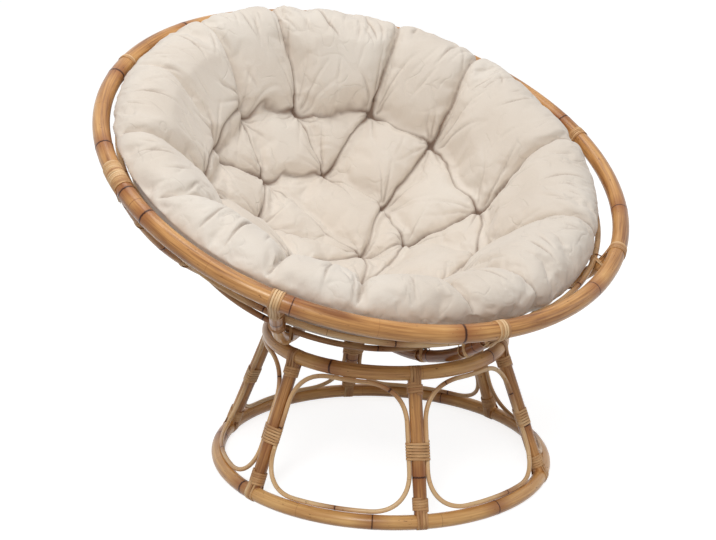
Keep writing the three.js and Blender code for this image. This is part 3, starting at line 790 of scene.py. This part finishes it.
make_rim()
make_ribs()
make_bowl_rings()
make_base_poles()
make_loops()
make_leg_lashings()
make_rim_lashings()


# Pad, in the bowl's frame, in metres
PAD_RADIUS = 0.498
PAD_OFFSET = np.array([-0.016, 0.004])
PAD_EDGE = 0.006
PAD_REAR = 0.072
PAD_FRONT = 0.030
PAD_HIGHEST = math.radians(56)
PAD_GAP, PAD_THICKNESS = 0.0024, 0.104
PAD_UNDER = HOOP_SPHERE - HOOP_POLE - PAD_GAP
PAD_CENTRE = RISE - PAD_UNDER + PAD_THICKNESS
PIVOT_IN_BOWL = np.array([0, 0, RISE])
# Valleys and tufts, each (size, reach in metres, power): the broad sink, how firmly the cloth is held while it
# swells, the sharp sink after that, and the shade painted into the cotton's colour
BROAD_VALLEY, BROAD_TUFT = (0.016, 0.015, 1.5), (0.03, 0.027, 1.4)
HELD_VALLEY, HELD_TUFT = (0.45, 0.007, 2.0), (0.9, 0.010, 4.0)
SHARP_VALLEY, SHARP_TUFT = (0.012, 0.0042, 1.0), (0.01, 0.009, 1.3)
SHADED_VALLEY, SHADED_TUFT = (1.2, 0.0036, 1.3), (0.7, 0.006, 2.0)
# Tufts: the one in the middle and two rings, each (angle from the low front point towards +X, reach)
CENTRE_TUFT = (41, 0.066)
INNER_TUFTS = [(70, 0.151), (114, 0.16), (163, 0.186), (210, 0.194), (251, 0.165), (301, 0.17), (353, 0.165)]
OUTER_TUFTS = [(16, 0.285), (47, 0.29), (77, 0.296), (116.5, 0.313), (144, 0.317), (176, 0.298), (203, 0.31),
               (230, 0.288), (256, 0.3), (285, 0.31), (313, 0.305), (336, 0.295), (357, 0.285)]
# Loose pleats over the roll: angle, start, end, and depth in millimetres
PLEATS = [(5, 0.34, 0.48, 7), (28, 0.38, 0.49, 6), (63, 0.36, 0.49, 6), (70, 0.4, 0.5, 4), (101, 0.36, 0.47, 5),
          (129, 0.38, 0.49, 6), (149, 0.37, 0.49, 7), (161, 0.36, 0.5, 8), (190, 0.36, 0.48, 5),
          (215, 0.37, 0.5, 6), (241, 0.36, 0.49, 6), (268, 0.38, 0.5, 7), (292, 0.37, 0.5, 8),
          (300, 0.33, 0.5, 9), (324, 0.34, 0.5, 8), (330, 0.4, 0.5, 5), (346, 0.38, 0.5, 5)]
# The pad's section from its middle to its lower edge, as shares of its radius and rise
DISH = np.array([(0, 0), (0.08, 0.008), (0.17, 0.035), (0.26, 0.08), (0.345, 0.14), (0.43, 0.22), (0.51, 0.315),
                 (0.585, 0.43), (0.655, 0.56), (0.712, 0.69), (0.765, 0.81), (0.82, 0.92), (0.87, 0.985),
                 (0.912, 1), (0.95, 0.93), (0.98, 0.7), (0.997, 0.36), (1, 0)])
# Along that section: where its side starts, and how much of a sink goes down
SIDE_SHARE = 0.76
SINKS_DOWN = ([0, 0.72, 0.88, 1], [1, 1, 0.6, 0.0])
UNDER_SHARE = 0.97
SHELL_ROWS, UNDER_ROWS, SECTORS = 100, 40, 240
SMOOTHINGS = 5


def tuft_points(table):
    angle = np.radians([a - 90 for a, _ in table])
    reach = np.array([r for _, r in table])
    return np.stack([reach * np.cos(angle), reach * np.sin(angle)], 1)


INNER, OUTER, MIDDLE = tuft_points(INNER_TUFTS), tuft_points(OUTER_TUFTS), tuft_points([CENTRE_TUFT])
TUFTS = np.vstack([MIDDLE, INNER, OUTER])


def segment_distance(points, start, end):
    """Distance of each point from a segment, and the share of it at the nearest place."""
    line = end - start
    share = np.clip(((points - start) @ line) / (line @ line), 0, 1)
    return np.linalg.norm(points - start - share[:, None] * line, axis=1), share


# The inner tuft with no valley to the middle one, and the outer tuft with a shallow fold
UNJOINED_TUFT, SHALLOW_FOLD = 2, 7


def crease_lines():
    """Valleys between neighbouring tufts, and folds over the roll: (start, end, depth, fade)."""
    lines = []
    for k, tuft in enumerate(INNER):
        if k != UNJOINED_TUFT:
            lines.append((MIDDLE[0], tuft, 0.8, 0.12))
        lines.append((tuft, INNER[(k + 1) % len(INNER)], 0.85, 0.12))
    for k, tuft in enumerate(OUTER):
        lines.append((tuft, OUTER[(k + 1) % len(OUTER)], 0.9, 0.12))
        near = INNER[np.argmin(np.linalg.norm(INNER - tuft, axis=1))]
        lines.append((tuft, near, 1.0, 0.08))
        angle = math.atan2(tuft[1], tuft[0]) + rng.normal(0, 0.05)
        rim_end = PAD_RADIUS * 1.03 * toward(angle)
        lines.append((tuft, rim_end, 0.4 if k == SHALLOW_FOLD else 0.95, 0.15))
    return lines


CREASES = crease_lines()


# How far a valley strays from its line, and how near to a tuft it stops doing so, in metres
BEND, CALM_REACH = 0.0045, 0.06


def bent(flat):
    """The places, shifted so that straight lines come out slightly wavy away from the tufts."""
    x, y = flat[:, 0], flat[:, 1]
    wave = np.stack([np.sin(y * 30 + 1.3) + 0.4 * np.sin(y * 67), np.sin(x * 28) + 0.4 * np.sin(x * 61 + 2)], 1)
    calm = np.clip(np.linalg.norm(flat[:, None] - TUFTS[None], axis=2).min(1) / CALM_REACH, 0, 1)
    return flat + BEND * calm[:, None] * wave


def valleys(flat, size, reach, power, fading=0.0):
    """How near each place is to a valley, from 0 to size, and weaker half way along."""
    flat = bent(flat)
    value = np.zeros(len(flat))
    for start, end, depth, fade in CREASES:
        d, share = segment_distance(flat, start, end)
        strength = depth * (1 - (fade + fading) * np.sin(np.pi * share))
        value = np.maximum(value, strength * np.exp(-((d / reach) ** power)))
    return size * value


def tufts(flat, size, reach, power):
    d = np.linalg.norm(flat[:, None] - TUFTS[None], axis=2).min(1)
    return size * np.exp(-((d / reach) ** power))


def offset_at(level):
    """How far the pad lies off the bowl's middle: not at all deep in the bowl, and fully from the rim up."""
    return np.interp(level, [-0.12, 0.0], [0, 1])[:, None] * PAD_OFFSET


def pad_shape():
    """Points and faces of the pad before it is inflated, in the bowl's frame."""
    share = np.linspace(0, 1, len(DISH))
    fine = np.linspace(0, 1, SHELL_ROWS)
    radius, rise = (np.interp(fine, share, column) for column in DISH.T)
    for _ in range(SMOOTHINGS):
        for row in (radius, rise):
            row[1:-1] = (row[:-2] + 2 * row[1:-1] + row[2:]) / 4
    angle = np.arange(SECTORS) / SECTORS * TAU
    crest = PAD_FRONT + (PAD_REAR - PAD_FRONT) * (1 + np.cos(angle - PAD_HIGHEST)) / 2
    r = PAD_RADIUS * np.broadcast_to(radius[:, None], (SHELL_ROWS, SECTORS)).copy()
    floor = np.where(fine > SIDE_SHARE, PAD_EDGE, PAD_CENTRE)[:, None]
    z = floor + (crest[None] - floor) * rise[:, None]
    flat = np.stack([r * np.cos(angle), r * np.sin(angle)], 2).reshape(-1, 2)
    sink = np.maximum(valleys(flat, *BROAD_VALLEY), tufts(flat, *BROAD_TUFT)).reshape(r.shape)
    fade = np.interp(fine, *SINKS_DOWN)[:, None]
    z -= sink * fade
    r -= sink * (1 - fade) * 0.6 * np.interp(fine, [0, 0.8, 1], [0, 1, 0.5])[:, None]
    under = np.linspace(math.asin(PAD_RADIUS * UNDER_SHARE / PAD_UNDER), 0, UNDER_ROWS)[:-1]
    under_r = np.broadcast_to(PAD_UNDER * np.sin(under)[:, None], (len(under), SECTORS))
    under_z = np.broadcast_to(RISE - PAD_UNDER * np.cos(under)[:, None], under_r.shape)
    top_centre = float(z[0].mean())
    r = np.vstack([r[1:], under_r])
    z = np.vstack([z[1:], under_z])
    verts = np.stack([r * np.cos(angle), r * np.sin(angle), z], 2).reshape(-1, 3)
    verts = np.vstack([[[0, 0, top_centre]], verts, [[0, 0, RISE - PAD_UNDER]]])
    verts[:, :2] += offset_at(verts[:, 2])
    rows = len(r)
    faces = []
    for s in range(SECTORS):
        t = (s + 1) % SECTORS
        faces.append((0, 1 + s, 1 + t))
        faces.append((len(verts) - 1, 1 + (rows - 1) * SECTORS + t, 1 + (rows - 1) * SECTORS + s))
        for k in range(rows - 1):
            a, b = 1 + k * SECTORS, 1 + (k + 1) * SECTORS
            faces.append((a + s, b + s, b + t, a + t))
    return verts, faces


def vectors(items, field):
    values = np.empty(len(items) * 3, np.float32)
    items.foreach_get(field, values)
    return values.reshape(-1, 3).astype(float)


def into_bowl(points):
    return placed(BOWL.inverted(), points)


# The pad's room beside the rim, its least push inwards there, and where its low side ends
RIM_ROOM, INWARD, LOW_LEVEL = 0.0022, 0.003, 0.01


def kept_clear(local):
    """Pad points, in the bowl's frame, pushed clear of the rim, the ribs and the hoops."""
    local = local.copy()
    out = np.linalg.norm(local[:, :2], axis=1)
    from_rim = np.stack([out - RIM_RADIUS, local[:, 2]], 1)
    gap = np.linalg.norm(from_rim, axis=1)
    least = RIM_POLE + STRAND_THICKNESS + RIM_ROOM
    near = (gap < least) | ((out > RIM_RADIUS - least) & (local[:, 2] < 0))
    fixed = from_rim.copy()
    fixed[:, 0] = np.minimum(fixed[:, 0], -INWARD)
    fixed = unit(fixed) * np.maximum(gap, least)[:, None]
    new_out = RIM_RADIUS + fixed[:, 0]
    scale = np.where(near, new_out / np.maximum(out, 1e-6), 1)
    local[:, :2] *= scale[:, None]
    local[:, 2] = np.where(near, fixed[:, 1], local[:, 2])
    away = local - PIVOT_IN_BOWL
    reach = np.linalg.norm(away, axis=1)
    low = (local[:, 2] < LOW_LEVEL) & (reach > PAD_UNDER)
    local[low] = PIVOT_IN_BOWL + away[low] / reach[low, None] * PAD_UNDER
    return local


VOXEL, SWELL_LIMIT = 0.0065, 0.026
SWELL_FRAMES, HOLD_LEVELS = 20, 20
CLOTH = {"quality": 4, "mass": 0.25, "air_damping": 1.5, "tension_stiffness": 15, "compression_stiffness": 12,
         "shear_stiffness": 4, "bending_stiffness": 0.1, "use_pressure": True, "uniform_pressure_force": 4.0,
         "shrink_min": -0.06, "vertex_group_mass": "hold"}


def apply_modifiers(piece):
    """Give the piece the mesh that its modifiers make."""
    graph = bpy.context.evaluated_depsgraph_get()
    graph.update()
    mesh = bpy.data.meshes.new_from_object(piece.evaluated_get(graph), depsgraph=graph)
    piece.modifiers.clear()
    old = piece.data
    piece.data = mesh
    bpy.data.meshes.remove(old)


def inflate(pad):
    """Swell the pad like filled cloth, held at tufts, along valleys and where it lies in the bowl."""
    remesh = pad.modifiers.new("remesh", "REMESH")
    remesh.mode = "VOXEL"
    remesh.voxel_size = VOXEL
    apply_modifiers(pad)
    start = vectors(pad.data.vertices, "co")
    local = into_bowl(start)
    flat = local[:, :2] - offset_at(local[:, 2])
    reach = np.linalg.norm(local - PIVOT_IN_BOWL, axis=1)
    under = (reach > PAD_UNDER - 0.004) & (local[:, 2] < 0.0)
    hold = np.where(under, 1.0, np.maximum(tufts(flat, *HELD_TUFT), valleys(flat, *HELD_VALLEY)))
    group = pad.vertex_groups.new(name="hold")
    levels = np.round(hold * HOLD_LEVELS).astype(int)
    for level in np.unique(levels[levels > 0]):
        group.add(np.flatnonzero(levels == level).tolist(), level / HOLD_LEVELS, "REPLACE")
    cloth = pad.modifiers.new("cloth", "CLOTH")
    for key, value in CLOTH.items():
        setattr(cloth.settings, key, value)
    cloth.settings.effector_weights.gravity = 0
    cloth.collision_settings.use_collision = False
    cloth.point_cache.frame_start = 1
    cloth.point_cache.frame_end = SWELL_FRAMES
    scene = bpy.context.scene
    for step in range(1, SWELL_FRAMES + 1):
        scene.frame_set(step)
    graph = bpy.context.evaluated_depsgraph_get()
    shaped = pad.evaluated_get(graph).to_mesh()
    moved = vectors(shaped.vertices, "co") - start
    pad.evaluated_get(graph).to_mesh_clear()
    pad.modifiers.clear()
    pad.vertex_groups.clear()
    scene.frame_set(1)
    length = np.linalg.norm(moved, axis=1, keepdims=True)
    moved *= np.minimum(1, SWELL_LIMIT / np.maximum(length, 1e-9))
    pad.data.vertices.foreach_set("co", (start + moved).ravel())
    pad.data.update()


# Wrinkles at each tuft and loose ones, a groove's width, the bank beside it, as a share of its depth, and that
# one's width, and the depth that takes the most painted shade, and how much painted shade that is
PUCKERS, LOOSE_WRINKLES = 11, 230
GROOVE_WIDTH, BANK, BANK_WIDTH = 0.0034, 0.35, 0.012
FULL_WRINKLE, WRINKLE_SHADE = 0.006, 0.62


def wrinkle_lines():
    """Pleats over the roll, puckers round the tufts and small wrinkles: (start, end, depth, loose)."""
    lines = []
    for angle, near, far, depth in PLEATS:
        start, end = tuft_points([(angle, near), (angle + rng.normal(0, 3), far)])
        lines.append((start, end, depth / 1000, 1))
    for tuft in TUFTS:
        first = rng.random() * TAU
        for k in range(PUCKERS):
            ahead = toward(first + k * TAU / PUCKERS + rng.normal(0, 0.16))
            end = tuft + rng.uniform(0.04, 0.12) * ahead
            lines.append((tuft + 0.008 * ahead, end, rng.uniform(0.003, 0.0065), 0))
    for k in range(LOOSE_WRINKLES):
        home = rng.random() * TAU
        out = PAD_RADIUS * (rng.uniform(0.2, 1.0) ** 0.5 if k % 2 else rng.uniform(0.86, 1.0))
        start = out * toward(home)
        way = home + rng.normal(0, 0.3) if out > 0.33 else rng.random() * TAU
        end = start - rng.uniform(0.035, 0.1) * toward(way)
        lines.append((start, end, rng.uniform(0.0015, 0.0035) * (1 if k % 2 else 1.4), 1))
    return lines


def crumple(pad):
    """Draw sharp valleys, puckers round the tufts and small wrinkles into the finished mesh, and store how much
    shade to paint into them.
    """
    ease = pad.modifiers.new("ease", "SMOOTH")
    ease.factor = 0.5
    ease.iterations = 2
    split = pad.modifiers.new("split", "SUBSURF")
    split.levels = split.render_levels = 1
    apply_modifiers(pad)
    world = vectors(pad.data.vertices, "co")
    local = into_bowl(world)
    flat = local[:, :2] - PAD_OFFSET
    reach = np.linalg.norm(local - PIVOT_IN_BOWL, axis=1)
    free = np.clip((PAD_UNDER - 0.006 - reach) / 0.02, 0, 1)
    down = unit(vectors(pad.data.vertex_normals, "vector") + 0.8 * unit(PIVOT - world))
    sink = valleys(flat, *SHARP_VALLEY) + tufts(flat, *SHARP_TUFT)
    wavy = bent(flat)
    drawn = np.zeros(len(sink))
    for start, end, depth, loose in wrinkle_lines():
        length = np.linalg.norm(end - start)
        close = np.flatnonzero(np.linalg.norm(wavy - (start + end) / 2, axis=1) < length / 2 + 0.02)
        d, share = segment_distance(wavy[close], start, end)
        course = np.sin(np.pi * share) if loose else (1 - share) ** 0.8 * np.minimum(share / 0.12, 1)
        groove = np.exp(-((d / GROOVE_WIDTH) ** 1.6))
        sink[close] += depth * course * (groove - BANK * np.exp(-((d / BANK_WIDTH) ** 2)))
        drawn[close] = np.maximum(drawn[close], depth * course * groove)
    # Painted shade: how dark the cotton is painted in the valleys, round the tufts and in the wrinkles, weaker
    # near the rim and none where it lies on the bowl
    painted_crease_shade = valleys(flat, *SHADED_VALLEY, fading=0.3) + tufts(flat, *SHADED_TUFT)
    painted_crease_shade = np.maximum(painted_crease_shade, WRINKLE_SHADE * np.clip(drawn / FULL_WRINKLE, 0, 1))
    painted_crease_shade *= free * np.interp(np.linalg.norm(flat, axis=1), [0.4, 0.49], [1, 0.65])
    stored = pad.data.attributes.new("painted_crease_shade", "FLOAT", "POINT")
    stored.data.foreach_set("value", np.clip(painted_crease_shade, 0, 1).astype(np.float32))
    world -= down * (sink * free)[:, None]
    world = placed(BOWL, kept_clear(into_bowl(world)))
    pad.data.vertices.foreach_set("co", world.astype(np.float32).ravel())
    pad.data.polygons.foreach_set("use_smooth", [True] * len(pad.data.polygons))
    pad.data.update()


def make_pad():
    verts, faces = pad_shape()
    pad = make_piece("pad", placed(BOWL, verts), faces, COTTON, "cushion", ["seat_cushion"])
    inflate(pad)
    crumple(pad)


make_pad()


# Studio
def background_rays(tree):
    """1 where the background is seen straight, in a reflection or through glass."""
    rays = tree.nodes.new("ShaderNodeLightPath")
    seen = rays.outputs["Is Camera Ray"]
    for other in ("Is Glossy Ray", "Is Transmission Ray"):
        either = tree.nodes.new("ShaderNodeMath")
        either.operation = "MAXIMUM"
        tree.links.new(seen, either.inputs[0])
        tree.links.new(rays.outputs[other], either.inputs[1])
        seen = either.outputs[0]
    return seen


WORLD_LEVEL = 0.45
FLOOR_LIFT = 0.82
FLOOR_GREY = 0.45
FLOOR_REACH = 30
LAMP_AIM = Vector((0, -0.05, 0.45))
# Each lamp's name, place, size in metres and power in watts
LAMPS = [("key", (-2.0, -2.2, 2.9), 1.0, 56), ("top", (-0.2, 0.5, 3.2), 1.6, 26),
         ("side", (2.6, -1.6, 1.7), 1.6, 7)]


def make_studio():
    mesh = bpy.data.meshes.new("floor")
    corners = [(x * FLOOR_REACH, y * FLOOR_REACH, 0) for x, y in ((-1, -1), (1, -1), (1, 1), (-1, 1))]
    mesh.from_pydata(corners, [], [(0, 1, 2, 3)])
    floor = bpy.data.objects.new("floor", mesh)
    link(floor)
    n = Nodes("floor")
    n.shade({"Base Color": grey(FLOOR_GREY),
             "Roughness": 1.0,
             "Specular IOR Level": 0,
             "Emission Color": grey(1),
             "Emission Strength": n.math("MULTIPLY", background_rays(n.tree), FLOOR_LIFT)})
    mesh.materials.append(n.material)
    world = bpy.data.worlds.new("studio")
    world.use_nodes = True
    tree = world.node_tree
    mix = tree.nodes.new("ShaderNodeMixShader")
    tree.links.new(background_rays(tree), mix.inputs[0])
    soft, white = tree.nodes["Background"], tree.nodes.new("ShaderNodeBackground")
    for node, strength, socket in ((soft, WORLD_LEVEL, 1), (white, 1.0, 2)):
        node.inputs["Color"].default_value = grey(1)
        node.inputs["Strength"].default_value = strength
        tree.links.new(node.outputs[0], mix.inputs[socket])
    tree.links.new(mix.outputs[0], tree.nodes["World Output"].inputs["Surface"])
    bpy.context.scene.world = world
    for name, place, size, power in LAMPS:
        data = bpy.data.lights.new(name, "AREA")
        data.size = size
        data.energy = power
        lamp = bpy.data.objects.new(name, data)
        lamp.location = place
        lamp.rotation_euler = (LAMP_AIM - Vector(place)).to_track_quat("-Z", "Y").to_euler()
        link(lamp)


make_studio()
bpy.context.scene.view_settings.view_transform = "Standard"
